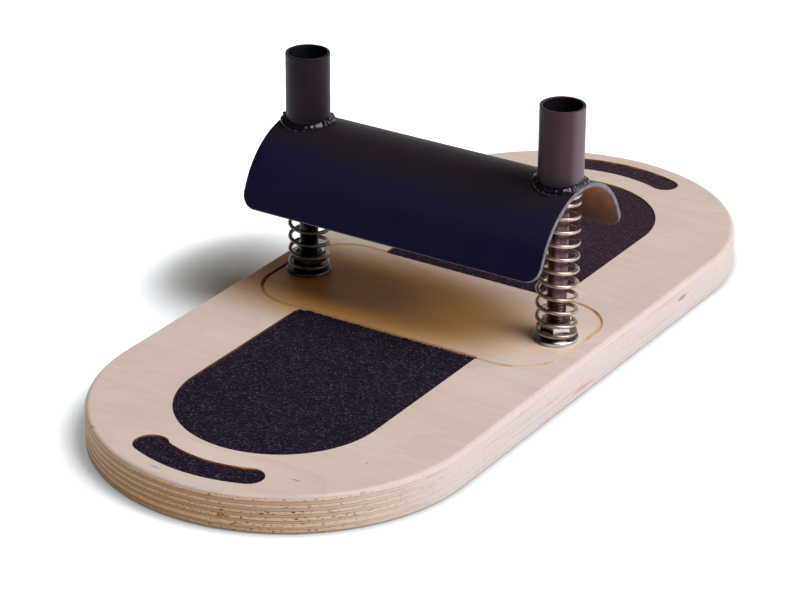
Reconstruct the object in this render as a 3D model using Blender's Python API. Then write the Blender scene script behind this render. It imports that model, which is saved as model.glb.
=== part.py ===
"""Pilates foot corrector: a sprung steel saddle over a plywood board. Metres, +Z up.

The board lies flat with its underside at z = 0 and its middle at the origin. Its long axis is Y,
and the saddle lies across it, along X. Left is -X, right is +X, front is -Y and rear is +Y.
Two long bolts stand on the board. The saddle slides down them against two springs.
"""
import math

import bmesh
import bpy
from mathutils import Vector

# Fits
GAP = 0.0003
HOLE_CLEARANCE = 0.0004
SLIDE_CLEARANCE = 0.00075
HEAD_CLEARANCE = 0.0014
HEAD_WASHER_CLEARANCE = 0.0006
COUNTERBORE_CLEARANCE = 0.002
RECESS_OVERLAP = 0.0002

# Board
BOARD_LENGTH = 0.438
BOARD_THICKNESS = 0.019
SIDE_MARGIN = 0.0233
TOP_EDGE_RADIUS = 0.0026
BOTTOM_EDGE_RADIUS = 0.0014
POST_SPACING = 0.1444
NUT_RECESS = 0.0008

# Grit sheets and the routed panel between them
PAD_WIDTH = 0.1014
PAD_THICKNESS = 0.0008
PAD_CLEARANCE = 0.0004
RECESS_DEPTH = 0.0015
STRIP_WIDTH = 0.014
STRIP_HALF_ANGLE = 22.5
STRIP_TO_PAD = 0.0145
STRIP_TO_END = 0.0104
PANEL_WIDTH = 0.080
PANEL_MARGIN = 0.0021
PANEL_CORNER = 0.025
GROOVE_WIDTH = 0.002
GROOVE_DEPTH = 0.001
GROOVE_FLOOR_SHARE = 1 / 3

# Saddle, its guide tubes and their welds
SADDLE_HEIGHT = 0.0825
SADDLE_RADIUS = 0.0408
SADDLE_HALF_BEND = 66.0
SADDLE_SIDE = 0.012
SADDLE_THICKNESS = 0.0023
SADDLE_CORNER = 0.008
TUBE_WALL = 0.00145
TUBE_TO_END = 0.0013
LEFT_TUBE_HEIGHT = 0.0355
RIGHT_TUBE_HEIGHT = 0.0393
WELD_LEG = 0.0026
WELD_RIPPLE = 0.0004
WELD_BEADS = 20
WELD_OUTLINE = ((0, 0), (1, 0), (0.8, 0.55), (0.5, 0.85), (0, 1))

# Bolts, nuts and washers
BOLT_DIAMETER = 0.009525
BOLT_HEAD_HEIGHT = 0.0062
NUT_FLATS = 0.0143
NUT_HEIGHT = 0.0083
THIN_NUT_HEIGHT = 0.0056
WASHER_THICKNESS = 0.0016
SEAT_MARGIN = 0.0006
BASE_NUT_TURN = 21.0
CHAMFER_SHARE = 0.95
CHAMFER_ANGLE = 30.0
POINT_SHARE = 0.2

# Springs
WIRE_DIAMETER = 0.00203
SPRING_TURNS = 11.5
END_TURNS = 0.85
END_TURN_GAP = 0.0006
SPRING_TIP_ANGLE = 129.5

# Fineness of round shapes
ROUND_STEPS = 32
HEX_STEPS = 48
BOARD_END_STEPS = 32
CORNER_STEPS = 8
BEND_STEPS = 32
POINTS_PER_TURN = 10
BEAD_STEPS = 4
SHARP_ANGLE = 35.0
CUT_OVER = 0.002

# Places that follow from the sizes above
BOARD_HALF_WIDTH = POST_SPACING / 2 + SIDE_MARGIN
CROWN = BOARD_THICKNESS + SADDLE_HEIGHT
BEND_CENTRE = CROWN - SADDLE_RADIUS
PAD_END_CENTRE = BOARD_LENGTH / 2 - STRIP_TO_END - STRIP_WIDTH - STRIP_TO_PAD - PAD_WIDTH / 2
STRIP_RADIUS = PAD_WIDTH / 2 + STRIP_TO_PAD + STRIP_WIDTH / 2
RECESS_START = PANEL_WIDTH / 2 - GROOVE_WIDTH / 2 - RECESS_OVERLAP
BOLT_RADIUS = BOLT_DIAMETER / 2
NUT_CORNER_RADIUS = NUT_FLATS / 2 / math.cos(math.pi / 6)
TUBE_BORE_RADIUS = NUT_CORNER_RADIUS + HEAD_CLEARANCE
TUBE_RADIUS = TUBE_BORE_RADIUS + TUBE_WALL
SPRING_RADIUS = NUT_CORNER_RADIUS + GAP + WIRE_DIAMETER / 2
SPRING_OUTER_RADIUS = SPRING_RADIUS + WIRE_DIAMETER / 2
BASE_WASHER_RADIUS = SPRING_OUTER_RADIUS + SEAT_MARGIN
BASE_WASHER_TOP = BOARD_THICKNESS + GAP + WASHER_THICKNESS
HEAD_WASHER_TOP = CROWN + GAP + WASHER_THICKNESS
COUNTERBORE_DEPTH = NUT_RECESS + THIN_NUT_HEIGHT + WASHER_THICKNESS + 2 * GAP
BOTTOM_WASHER_LOW = COUNTERBORE_DEPTH - GAP - WASHER_THICKNESS


def clear_scene():
    """Start from an empty scene."""
    for thing in list(bpy.data.objects):
        bpy.data.objects.remove(thing, do_unlink=True)


def material(name, colour, roughness, metallic):
    """A plain surface with its colour as linear RGB."""
    finish = bpy.data.materials.new(name)
    finish.use_nodes = True
    shader = finish.node_tree.nodes["Principled BSDF"]
    shader.inputs["Base Color"].default_value = (*colour, 1)
    shader.inputs["Roughness"].default_value = roughness
    shader.inputs["Metallic"].default_value = metallic
    return finish


def polar(radius, angle, z=0.0):
    """A point at a radius and an angle round Z."""
    return Vector((radius * math.cos(angle), radius * math.sin(angle), z))


def turn_steps(count):
    """Equal angles once round."""
    return [2 * math.pi * step / count for step in range(count)]


def circle(radius, z, count=ROUND_STEPS):
    """A level ring of points."""
    return [polar(radius, angle, z) for angle in turn_steps(count)]


def loft(name, rings, finish, loop=False):
    """A mesh skinned over equal rings, with capped ends or, as a loop, joined end to end."""
    shape = bmesh.new()
    rows = [[shape.verts.new(point) for point in ring] for ring in rings]
    pairs = list(zip(rows, rows[1:]))
    if loop:
        pairs.append((rows[-1], rows[0]))
    for low, high in pairs:
        for here in range(len(low)):
            there = (here + 1) % len(low)
            shape.faces.new((low[here], low[there], high[there], high[here]))
    if not loop:
        shape.faces.new(rows[0][::-1])
        shape.faces.new(rows[-1])
    bmesh.ops.recalc_face_normals(shape, faces=shape.faces)
    mesh = bpy.data.meshes.new(name)
    shape.to_mesh(mesh)
    shape.free()
    mesh.shade_smooth()
    mesh.set_sharp_from_angle(angle=math.radians(SHARP_ANGLE))
    if finish:
        mesh.materials.append(finish)
    return mesh


def place(name, data, location=(0, 0, 0), turn=0.0, parent=None):
    """An object of the given data, turned round Z and set in the world, under a parent or none."""
    thing = bpy.data.objects.new(name, data)
    bpy.context.scene.collection.objects.link(thing)
    offset = parent.location if parent else Vector((0, 0, 0))
    thing.location = Vector(location) - offset
    thing.rotation_euler.z = turn
    thing.parent = parent
    return thing


def cut(thing, name, mesh, location=(0, 0, 0), turn=0.0):
    """Take a hidden cutter's shape out of an object."""
    cutter = place(name, mesh, location, turn)
    cutter.hide_render = True
    cutter.display_type = "WIRE"
    boolean = thing.modifiers.new(name, "BOOLEAN")
    boolean.operation = "DIFFERENCE"
    boolean.solver = "EXACT"
    boolean.object = cutter


def both_posts():
    """The name and the X of each post."""
    return (("left", -POST_SPACING / 2), ("right", POST_SPACING / 2))


def both_ends():
    """The name and the turn of what lies at each end of the board."""
    return (("front", math.pi), ("rear", 0.0))


def stadium_ring(inset, z):
    """The board's outline, drawn in by an inset, at a height."""
    radius = BOARD_HALF_WIDTH - inset
    offset = Vector((0, BOARD_LENGTH / 2 - BOARD_HALF_WIDTH, z))
    far = [polar(radius, math.pi * step / BOARD_END_STEPS) + offset for step in range(BOARD_END_STEPS + 1)]
    near = [Vector((-point.x, -point.y, z)) for point in far]
    return far + near


def board_rings():
    """The board's outlines from its underside to its top, with both edges eased."""
    rings = []
    steps = CORNER_STEPS // 2
    for step in range(steps + 1):
        angle = math.pi / 2 * step / steps
        inset = BOTTOM_EDGE_RADIUS * (1 - math.sin(angle))
        rings.append(stadium_ring(inset, BOTTOM_EDGE_RADIUS * (1 - math.cos(angle))))
    for step in range(steps + 1):
        angle = math.pi / 2 * step / steps
        inset = TOP_EDGE_RADIUS * (1 - math.cos(angle))
        rings.append(stadium_ring(inset, BOARD_THICKNESS - TOP_EDGE_RADIUS * (1 - math.sin(angle))))
    return rings


def pad_ring(z, grow=0.0):
    """A D shape that starts at the panel and ends in a half round, grown by a margin."""
    start = RECESS_START + PAD_CLEARANCE - grow
    radius = PAD_WIDTH / 2 + grow
    steps = BOARD_END_STEPS
    ring = [Vector((-radius, start, z)), Vector((radius, start, z))]
    for step in range(steps + 1):
        ring.append(polar(radius, math.pi * step / steps, z) + Vector((0, PAD_END_CENTRE, 0)))
    return ring


def strip_ring(z, grow=0.0):
    """A curved band with round tips, concentric with the pad's half round, grown by a margin."""
    half = math.radians(STRIP_HALF_ANGLE)
    reach = STRIP_WIDTH / 2 + grow
    middle = math.pi / 2
    ring = []
    for step in range(CORNER_STEPS * 2 + 1):
        angle = middle - half + 2 * half * step / (CORNER_STEPS * 2)
        ring.append(polar(STRIP_RADIUS + reach, angle, z))
    for step in range(1, CORNER_STEPS):
        around = middle + half + math.pi * step / CORNER_STEPS
        ring.append(polar(STRIP_RADIUS, middle + half, z) + polar(reach, around))
    for step in range(CORNER_STEPS * 2 + 1):
        angle = middle + half - 2 * half * step / (CORNER_STEPS * 2)
        ring.append(polar(STRIP_RADIUS - reach, angle, z))
    for step in range(1, CORNER_STEPS):
        around = middle - half + math.pi * (1 + step / CORNER_STEPS)
        ring.append(polar(STRIP_RADIUS, middle - half, z) + polar(reach, around))
    return [point + Vector((0, PAD_END_CENTRE, 0)) for point in ring]


def groove_rings():
    """A routed groove's cutter round the middle panel: a V with a flat bottom."""
    half_length = POST_SPACING / 2 + BASE_WASHER_RADIUS + PANEL_MARGIN
    half_width = PANEL_WIDTH / 2
    side = GROOVE_WIDTH / 2
    floor = side * GROOVE_FLOOR_SHARE
    section = ((-side, CUT_OVER), (-side, 0), (-floor, -GROOVE_DEPTH))
    section += ((floor, -GROOVE_DEPTH), (side, 0), (side, CUT_OVER))
    rings = []
    for corner, (across, along) in enumerate(((1, 1), (-1, 1), (-1, -1), (1, -1))):
        centre = Vector((across * (half_length - PANEL_CORNER), along * (half_width - PANEL_CORNER), 0))
        for step in range(CORNER_STEPS + 1):
            angle = math.pi / 2 * (corner + step / CORNER_STEPS)
            rings.append([
                centre + polar(PANEL_CORNER + out, angle, BOARD_THICKNESS + up) for out, up in section
            ])
    return rings


def post_hole_rings():
    """A stepped cutter: the bolt's hole through the board and the counterbore under it."""
    hole = BOLT_RADIUS + HOLE_CLEARANCE
    counterbore = BASE_WASHER_RADIUS + COUNTERBORE_CLEARANCE
    return [
        circle(counterbore, -CUT_OVER),
        circle(counterbore, COUNTERBORE_DEPTH),
        circle(hole, COUNTERBORE_DEPTH),
        circle(hole, BOARD_THICKNESS + CUT_OVER),
    ]


def make_board(plywood):
    """The plywood board with its recesses, groove and post holes."""
    board = place("base_board", loft("base_board", board_rings(), plywood))
    groove = loft("groove_cutter", groove_rings(), None, loop=True)
    cut(board, "groove_cutter", groove)
    floor = BOARD_THICKNESS - RECESS_DEPTH
    over = BOARD_THICKNESS + CUT_OVER
    for name, ring in (("pad", pad_ring), ("strip", strip_ring)):
        recess = loft(name + "_recess", [ring(floor, PAD_CLEARANCE), ring(over, PAD_CLEARANCE)], None)
        for end, turn in both_ends():
            cut(board, f"{end}_{name}_recess", recess, turn=turn)
    hole = loft("post_hole", post_hole_rings(), None)
    for side, x in both_posts():
        cut(board, side + "_post_hole", hole, (x, 0, 0))


def make_grit(grit):
    """The grit sheets, bedded on the floors of their recesses."""
    bottom = BOARD_THICKNESS - RECESS_DEPTH + GAP
    top = bottom + PAD_THICKNESS
    for name, ring in (("pad", pad_ring), ("strip", strip_ring)):
        sheet = loft("grip_" + name, [ring(bottom), ring(top)], grit)
        for end, turn in both_ends():
            place(f"{end}_grip_{name}", sheet, turn=turn)


def saddle_stations():
    """Stations along the sheet's girth: the angle from upright and the length left to the edge."""
    half_bend = math.radians(SADDLE_HALF_BEND)
    stations = []
    for step in range(CORNER_STEPS + 1):
        left = min(SADDLE_CORNER, SADDLE_SIDE) * (1 - math.cos(math.pi / 2 * step / CORNER_STEPS))
        stations.append((half_bend, left))
    for step in range(BEND_STEPS // 2 + 1):
        share = 1 - step / (BEND_STEPS // 2)
        stations.append((half_bend * share, SADDLE_SIDE + half_bend * (1 - share) * SADDLE_RADIUS))
    return stations


def saddle_ring(side, angle, left):
    """The sheet's cross cut at one station: a strip as long as the sheet is there, and as thick."""
    half_length = POST_SPACING / 2 + TUBE_RADIUS + TUBE_TO_END
    short = max(SADDLE_CORNER - left, 0)
    half_length -= SADDLE_CORNER - math.sqrt(SADDLE_CORNER ** 2 - short ** 2)
    down = max(SADDLE_SIDE - left, 0)
    outward = Vector((0, side * math.sin(angle), math.cos(angle)))
    along = Vector((0, side * math.cos(angle), -math.sin(angle)))
    outer = Vector((0, 0, BEND_CENTRE)) + outward * SADDLE_RADIUS + along * down
    inner = outer - outward * SADDLE_THICKNESS
    reach = Vector((half_length, 0, 0))
    return [outer - reach, outer + reach, inner + reach, inner - reach]


def make_saddle(paint, slide):
    """The rolled sheet with straight sides, rounded corners and a bolt hole under each tube."""
    half = saddle_stations()
    rings = [saddle_ring(-1, *station) for station in half]
    rings += [saddle_ring(1, *station) for station in half[-2::-1]]
    arch = place("saddle_arch", loft("saddle_arch", rings, paint), parent=slide)
    radius = BOLT_RADIUS + SLIDE_CLEARANCE
    low = CROWN - SADDLE_THICKNESS - CUT_OVER
    hole = loft("saddle_hole", [circle(radius, low), circle(radius, CROWN + CUT_OVER)], None)
    for side, x in both_posts():
        cut(arch, side + "_saddle_hole", hole, (x, 0, 0))


def crown_height(radius, angle, above=0.0):
    """The saddle's outer surface under a point round a post, or a level at a distance above it."""
    reach = SADDLE_RADIUS + above
    return BEND_CENTRE + math.sqrt(reach ** 2 - (radius * math.sin(angle)) ** 2)


def coped_ring(radius):
    """A ring round a post that follows the saddle's crown at the gap of touching pieces."""
    return [polar(radius, angle, crown_height(radius, angle, GAP)) for angle in turn_steps(ROUND_STEPS)]


def make_tube(side, x, height, paint, slide):
    """A guide tube, its foot coped to the saddle's crown."""
    rings = [
        coped_ring(TUBE_RADIUS),
        circle(TUBE_RADIUS, CROWN + height),
        circle(TUBE_BORE_RADIUS, CROWN + height),
        coped_ring(TUBE_BORE_RADIUS),
    ]
    name = side + "_guide_tube"
    place(name, loft(name, rings, paint, loop=True), (x, 0, 0), parent=slide)


def bead_ring(angle, leg, to_end):
    """A fillet weld's cross cut at one angle, its back to the tube and its foot to the saddle.

    Towards the sheet's end the foot is only as wide as the sheet still goes on.
    """
    root = TUBE_RADIUS + GAP
    foot = leg
    facing_end = to_end * math.cos(angle)
    if facing_end > 0:
        foot = min(leg, (TUBE_RADIUS + TUBE_TO_END) / facing_end - root)
    ring = []
    for out, up in WELD_OUTLINE:
        radius = root + foot * out
        ring.append(polar(radius, angle, crown_height(radius, angle, GAP) + leg * up))
    return ring


def make_weld(paint, slide):
    """The fillet weld round each tube's foot, laid as a row of overlapping beads."""
    for side, x in both_posts():
        rings = []
        for angle in turn_steps(WELD_BEADS * BEAD_STEPS):
            ripple = WELD_RIPPLE * abs(math.sin(angle * WELD_BEADS / 2))
            rings.append(bead_ring(angle, WELD_LEG - WELD_RIPPLE + ripple, math.copysign(1, x)))
        name = side + "_weld_bead"
        place(name, loft(name, rings, paint, loop=True), (x, 0, 0), parent=slide)


def hexagon(z, fall, count=HEX_STEPS):
    """A hexagon's ring. Its corners fall from z, or rise to it, as a cone's chamfer cuts them."""
    slope = math.tan(math.radians(CHAMFER_ANGLE))
    ring = []
    for angle in turn_steps(count):
        from_flat = (angle + math.pi / 6) % (math.pi / 3) - math.pi / 6
        radius = NUT_FLATS / 2 / math.cos(from_flat)
        drop = (radius - CHAMFER_SHARE * NUT_FLATS / 2) * slope
        ring.append(polar(radius, angle, z - fall * drop))
    return ring


def nut_mesh(name, height, steel):
    """A hexagon nut with chamfered corners, on z = 0."""
    chamfer = CHAMFER_SHARE * NUT_FLATS / 2
    bore = BOLT_RADIUS + GAP
    rings = [
        circle(chamfer, 0, HEX_STEPS),
        hexagon(0, -1),
        hexagon(height, 1),
        circle(chamfer, height, HEX_STEPS),
        circle(bore, height, HEX_STEPS),
        circle(bore, 0, HEX_STEPS),
    ]
    return loft(name, rings, steel, loop=True)


def washer_mesh(name, radius, steel):
    """A flat washer on z = 0."""
    bore = BOLT_RADIUS + HOLE_CLEARANCE
    rings = [
        circle(radius, 0),
        circle(radius, WASHER_THICKNESS),
        circle(bore, WASHER_THICKNESS),
        circle(bore, 0),
    ]
    return loft(name, rings, steel, loop=True)


def bolt_mesh(steel):
    """A long hexagon bolt, head up, with the underside of its head at z = 0."""
    shank = HEAD_WASHER_TOP + GAP - NUT_RECESS
    point = BOLT_RADIUS * POINT_SHARE
    rings = [
        circle(BOLT_RADIUS - point, -shank, HEX_STEPS),
        circle(BOLT_RADIUS, point - shank, HEX_STEPS),
        circle(BOLT_RADIUS, 0, HEX_STEPS),
        hexagon(0, 0),
        hexagon(BOLT_HEAD_HEIGHT, 1),
        circle(CHAMFER_SHARE * NUT_FLATS / 2, BOLT_HEAD_HEIGHT, HEX_STEPS),
    ]
    return loft("bolt", rings, steel)


def make_fasteners(steel):
    """On each post: the bolt with its head washer, the nut and washer above and those below the board."""
    head_washer = washer_mesh("head_washer", TUBE_BORE_RADIUS - HEAD_WASHER_CLEARANCE, steel)
    base_washer = washer_mesh("base_washer", BASE_WASHER_RADIUS, steel)
    base_nut = nut_mesh("base_nut", NUT_HEIGHT, steel)
    pieces = (
        ("bolt", bolt_mesh(steel), HEAD_WASHER_TOP + GAP, 0),
        ("head_washer", head_washer, CROWN + GAP, 0),
        ("base_nut", base_nut, BASE_WASHER_TOP + GAP, math.radians(BASE_NUT_TURN)),
        ("base_washer", base_washer, BOARD_THICKNESS + GAP, 0),
        ("bottom_washer", base_washer, BOTTOM_WASHER_LOW, 0),
        ("bottom_nut", nut_mesh("bottom_nut", THIN_NUT_HEIGHT, steel), NUT_RECESS, 0),
    )
    for side, x in both_posts():
        for name, mesh, z, turn in pieces:
            place(f"{side}_{name}", mesh, (x, 0, z), turn)


def spring_points():
    """The wire's centre line, from its seat on the washer to the saddle's underside, from z = 0.

    It is wound left-handed, and its end turns lie close, as on a spring with closed ends.
    """
    inside_bend = SADDLE_RADIUS - SADDLE_THICKNESS
    ceiling = BEND_CENTRE + math.sqrt(inside_bend ** 2 - SPRING_OUTER_RADIUS ** 2)
    height = ceiling - BASE_WASHER_TOP - 2 * GAP - WIRE_DIAMETER
    end_pitch = WIRE_DIAMETER + END_TURN_GAP
    pitch = (height - 2 * END_TURNS * end_pitch) / (SPRING_TURNS - 2 * END_TURNS)
    points = []
    for step in range(round(SPRING_TURNS * POINTS_PER_TURN) + 1):
        turn = step / POINTS_PER_TURN
        low = min(turn, END_TURNS)
        high = max(turn - (SPRING_TURNS - END_TURNS), 0)
        z = (low + high) * end_pitch + (turn - low - high) * pitch
        points.append(polar(SPRING_RADIUS, math.radians(SPRING_TIP_ANGLE) - 2 * math.pi * turn, z))
    return points


def least_gap(points):
    """The least gap between the wire's turns, measured between its points."""
    apart = POINTS_PER_TURN // 2
    spans = [
        (one - other).length
        for here, one in enumerate(points)
        for other in points[here + apart:]
    ]
    return min(spans) - WIRE_DIAMETER


def make_springs(steel):
    """A compression spring round each bolt, seated on the base washer and holding the saddle up."""
    points = spring_points()
    print(f"spring: least gap between turns {least_gap(points) * 1000:.2f} mm")
    wire = bpy.data.curves.new("spring", "CURVE")
    wire.dimensions = "3D"
    wire.bevel_depth = WIRE_DIAMETER / 2
    wire.bevel_resolution = 1
    wire.use_fill_caps = True
    wire.materials.append(steel)
    line = wire.splines.new("POLY")
    line.points.add(len(points) - 1)
    for spot, point in zip(line.points, points):
        spot.co = (*point, 1)
    line.use_smooth = True
    for side, x in both_posts():
        place(side + "_spring", wire, (x, 0, BASE_WASHER_TOP + GAP + WIRE_DIAMETER / 2))


def build():
    """Make every piece. What slides hangs on an empty on the joint's axis, at the crown."""
    clear_scene()
    plywood = material("birch_plywood", (0.62, 0.49, 0.40), 0.5, 0.0)
    grit = material("black_grit", (0.012, 0.011, 0.014), 0.95, 0.0)
    paint = material("black_paint", (0.014, 0.012, 0.017), 0.4, 0.2)
    zinc = material("zinc_plated_steel", (0.55, 0.55, 0.56), 0.3, 1.0)
    bright = material("bright_spring_steel", (0.48, 0.44, 0.40), 0.28, 1.0)
    make_board(plywood)
    make_grit(grit)
    slide = place("saddle_slide", None, (0, 0, CROWN))
    make_saddle(paint, slide)
    heights = (LEFT_TUBE_HEIGHT, RIGHT_TUBE_HEIGHT)
    for (side, x), height in zip(both_posts(), heights):
        make_tube(side, x, height, paint, slide)
    make_weld(paint, slide)
    make_fasteners(zinc)
    make_springs(bright)


build()
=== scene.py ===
"""Looks of the pilates foot corrector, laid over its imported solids. Metres, +Z up.

The board lies flat on the floor with its long axis along Y, and the saddle lies across it along X.
"""
import math
import random
from functools import partial

import bmesh
import bpy
import numpy as np
from mathutils import Matrix, Vector
from mathutils.geometry import delaunay_2d_cdt


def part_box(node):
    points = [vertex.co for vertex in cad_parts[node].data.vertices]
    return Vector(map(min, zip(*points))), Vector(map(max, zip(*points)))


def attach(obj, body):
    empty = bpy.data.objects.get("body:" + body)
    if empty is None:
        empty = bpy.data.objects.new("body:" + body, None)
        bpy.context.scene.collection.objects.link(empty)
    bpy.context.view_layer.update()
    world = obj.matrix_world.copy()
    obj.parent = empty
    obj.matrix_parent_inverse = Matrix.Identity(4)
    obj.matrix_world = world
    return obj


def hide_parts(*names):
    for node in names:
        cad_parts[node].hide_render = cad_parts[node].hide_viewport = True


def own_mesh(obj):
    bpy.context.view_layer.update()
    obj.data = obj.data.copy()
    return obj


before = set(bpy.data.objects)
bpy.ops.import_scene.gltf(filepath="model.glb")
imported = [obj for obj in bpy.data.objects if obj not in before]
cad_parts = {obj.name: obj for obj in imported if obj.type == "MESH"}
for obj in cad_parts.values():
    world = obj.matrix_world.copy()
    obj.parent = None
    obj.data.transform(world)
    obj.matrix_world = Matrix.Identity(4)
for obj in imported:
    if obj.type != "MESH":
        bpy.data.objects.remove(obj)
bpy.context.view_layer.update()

# The board: thirteen plies of birch glued crosswise, 19 mm in all, sawn out with round ends. Its face
# grain runs across it. A router eased its edges, cut the beds of the grit sheets and drew the groove
# round the middle panel. It is sanded and has a coat of clear satin lacquer.


def linear(colour):
    """A hex colour as seen, sRGB, turned to the linear values that a shader takes."""
    parts = [int(colour[place:place + 2], 16) / 255 for place in (1, 3, 5)]
    return [part / 12.92 if part <= 0.04045 else ((part + 0.055) / 1.055) ** 2.4 for part in parts] + [1]


def feed(made, wires):
    """Fill a node's inputs, by number or name, with values, hex colours or other nodes' outputs."""
    for name, value in wires.items():
        if isinstance(name, int):
            spot = made.inputs[name]
        else:
            spot = next(spot for spot in made.inputs if spot.enabled and spot.name == name)
        if isinstance(value, str):
            value = linear(value)
        if isinstance(value, bpy.types.Node):
            value = next(out for out in value.outputs if out.enabled)
        if isinstance(value, bpy.types.NodeSocket):
            made.id_data.links.new(value, spot)
        else:
            spot.default_value = value


def add_node(tree, kind, wires=None, stops=None, **settings):
    """Add a node with its settings, its colour stops and what its inputs take."""
    made = tree.nodes.new("ShaderNode" + kind)
    for name, value in settings.items():
        setattr(made, name, value)
    if stops:
        ramp = made.color_ramp
        while len(ramp.elements) < len(stops):
            ramp.elements.new(0.5)
        for element, (place, colour) in zip(ramp.elements, stops):
            element.position = place
            element.color = linear(colour)
    feed(made, wires or {})
    return made


def new_finish(name):
    """A named material, the function that adds nodes to it and its shader."""
    finish = bpy.data.materials.new(name)
    finish.use_nodes = True
    tree = finish.node_tree
    return finish, partial(add_node, tree), tree.nodes["Principled BSDF"]


def share_away(add, here, centre, reach):
    """How far a point is from a centre, as a share of the reach along each axis."""
    away = add("VectorMath", {0: here, 1: centre}, operation="SUBTRACT")
    away = add("VectorMath", {0: away, 1: reach}, operation="DIVIDE")
    return add("VectorMath", {0: away}, operation="LENGTH").outputs["Value"]


def polar(radius, angle, z=0.0):
    """A point at a radius and an angle round Z."""
    return Vector((radius * math.cos(angle), radius * math.sin(angle), z))


def turn(steps):
    """Equal angles once round."""
    return [2 * math.pi * step / steps for step in range(steps)]


def quarter_turn(steps):
    """Equal angles through a quarter turn, both ends included."""
    return [math.pi / 2 * step / steps for step in range(steps + 1)]


def rounding(size, steps):
    """Pairs that trace a rounded edge: the first falls from its size to nothing as the second grows."""
    return [(size * (1 - math.sin(a)), size * (1 - math.cos(a))) for a in quarter_turn(steps)]


def circle(radius, z, centre, steps):
    """A level circle of points round a centre."""
    return [polar(radius, angle, z) + centre for angle in turn(steps)]


def skin(name, rings, closed=False, sharp=35, finishes=()):
    """A piece skinned over rings of as many points each, joined end to end if closed, or else capped."""
    count = len(rings[0])
    total = len(rings) * count
    faces = []
    for row in range(len(rings) if closed else len(rings) - 1):
        low = row * count
        high = (low + count) % total
        for spot in range(count):
            beside = (spot + 1) % count
            faces.append((low + spot, low + beside, high + beside, high + spot))
    if not closed:
        faces.append(tuple(reversed(range(count))))
        faces.append(tuple(range(total - count, total)))
    return piece_of(name, [point for ring in rings for point in ring], faces, sharp, finishes)


def piece_of(name, points, faces, sharp=35, finishes=()):
    """An object of points and faces, its normals turned outward and its creases sharp."""
    mesh = bpy.data.meshes.new(name)
    mesh.from_pydata([tuple(point) for point in points], [], faces)
    work = bmesh.new()
    work.from_mesh(mesh)
    bmesh.ops.recalc_face_normals(work, faces=work.faces)
    work.to_mesh(mesh)
    work.free()
    mesh.shade_smooth()
    mesh.set_sharp_from_angle(angle=math.radians(sharp))
    for finish in finishes:
        mesh.materials.append(finish)
    made = bpy.data.objects.new(name, mesh)
    bpy.context.scene.collection.objects.link(made)
    return made


def settle(made, body, slot, *nodes):
    """Let a piece ride on its body and stand for its CAD nodes, which it hides. The slot is not used."""
    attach(made, body)
    if nodes:
        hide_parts(*nodes)
    return made


def carve(made, cutters):
    """Take cutters out of a piece for good, with the finish of the cut from each cutter's faces."""
    for cutter in cutters:
        cut = made.modifiers.new(cutter.name, "BOOLEAN")
        cut.operation = "DIFFERENCE"
        cut.solver = "EXACT"
        cut.object = cutter
    even = made.modifiers.new("even shading", "WEIGHTED_NORMAL")
    even.weight = 100
    even.keep_sharp = True
    bpy.context.view_layer.update()
    shaped = made.evaluated_get(bpy.context.evaluated_depsgraph_get())
    mesh = bpy.data.meshes.new_from_object(shaped)
    made.modifiers.clear()
    made.data = mesh
    for cutter in cutters:
        bpy.data.objects.remove(cutter, do_unlink=True)


half_width, half_length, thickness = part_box("base_board")[1]
face_ply = 0.0009
inner_plies = 11
inner_ply = (thickness - 2 * face_ply) / inner_plies
top_easing = 0.0026
bottom_easing = 0.0014
margin = 0.0004
bed_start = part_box("rear_grip_pad")[0].y - margin
smooth = {"interpolation_type": "SMOOTHSTEP"}

# Lacquered birch: pale pinkish cream with faint lines of grain, and a tan, speckled end grain where every
# other ply is cut across. The eye sees a low, even sheen and no gloss. Light and shade are painted into the
# colour: the golden shade that the saddle throws on the face, the lamp's light and shade on the edges, and
# the shaded foot of the edge.
birch, add, shader = new_finish("lacquered birch plywood")
spot = add("TexCoord")
here = spot.outputs["Object"]
axes = add("SeparateXYZ", {0: here})
facing = add("SeparateXYZ", {0: spot.outputs["Normal"]})
# The plies waver by up to a millimetre, and the dark ones are thicker towards the top.
waver = add("TexNoise", {"Vector": here, "Scale": 26, "Detail": 3})
drift = add("Math", {0: waver, 1: 0.001}, operation="MULTIPLY")
lifted = add("Math", {0: axes.outputs[2], 1: drift}, operation="ADD")
above = add("Math", {0: lifted, 1: face_ply + 0.0005}, operation="SUBTRACT")
plies = add("Math", {0: above, 1: inner_ply}, operation="DIVIDE")
off_centre = add("Math", {0: plies, 1: 0.5}, operation="SUBTRACT")
off_centre = add("Math", {0: off_centre, 1: 1}, operation="PINGPONG")
swollen = add("MapRange", {0: lifted, 1: 0.002, 2: 0.017, 3: -0.16, 4: 0.16})
off_centre = add("Math", {0: off_centre, 1: swollen}, operation="ADD")
crosswise = add("MapRange", {0: off_centre, 1: 0.52, 2: 0.66, 3: 0, 4: 1})
off_glue = add("Math", {0: off_centre, 1: 0.6}, operation="SUBTRACT")
off_glue = add("Math", {0: off_glue}, operation="ABSOLUTE")
glue_line = add("MapRange", {0: off_glue, 1: 0.03, 2: 0.17, 3: 1, 4: 0}, **smooth)
pair = add("Math", {0: plies, 1: 0.5}, operation="ADD")
pair = add("Math", {0: pair, 1: 2}, operation="DIVIDE")
pair = add("Math", {0: pair}, operation="FLOOR")
# End grain shows where the edge is square to a ply's fibres, in some plies more than in others.
across_end = add("Math", {0: facing.outputs[0], 1: 2}, operation="POWER")
across_end = add("Math", {0: across_end, 1: 0.18}, operation="MULTIPLY")
along_end = add("Math", {0: facing.outputs[1], 1: 2}, operation="POWER")
end_grain = add("Mix", {"Factor": crosswise, "A": along_end, "B": across_end})
each = add("TexWhiteNoise", {"W": pair}, noise_dimensions="1D")
strength = add("MapRange", {0: each, 1: 0, 2: 1, 3: 0.6, 4: 1})
end_grain = add("Math", {0: end_grain, 1: strength}, operation="MULTIPLY")
upright = add("Math", {0: facing.outputs[2]}, operation="ABSOLUTE")
on_side = add("Math", {0: 1, 1: upright}, operation="SUBTRACT")
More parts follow.
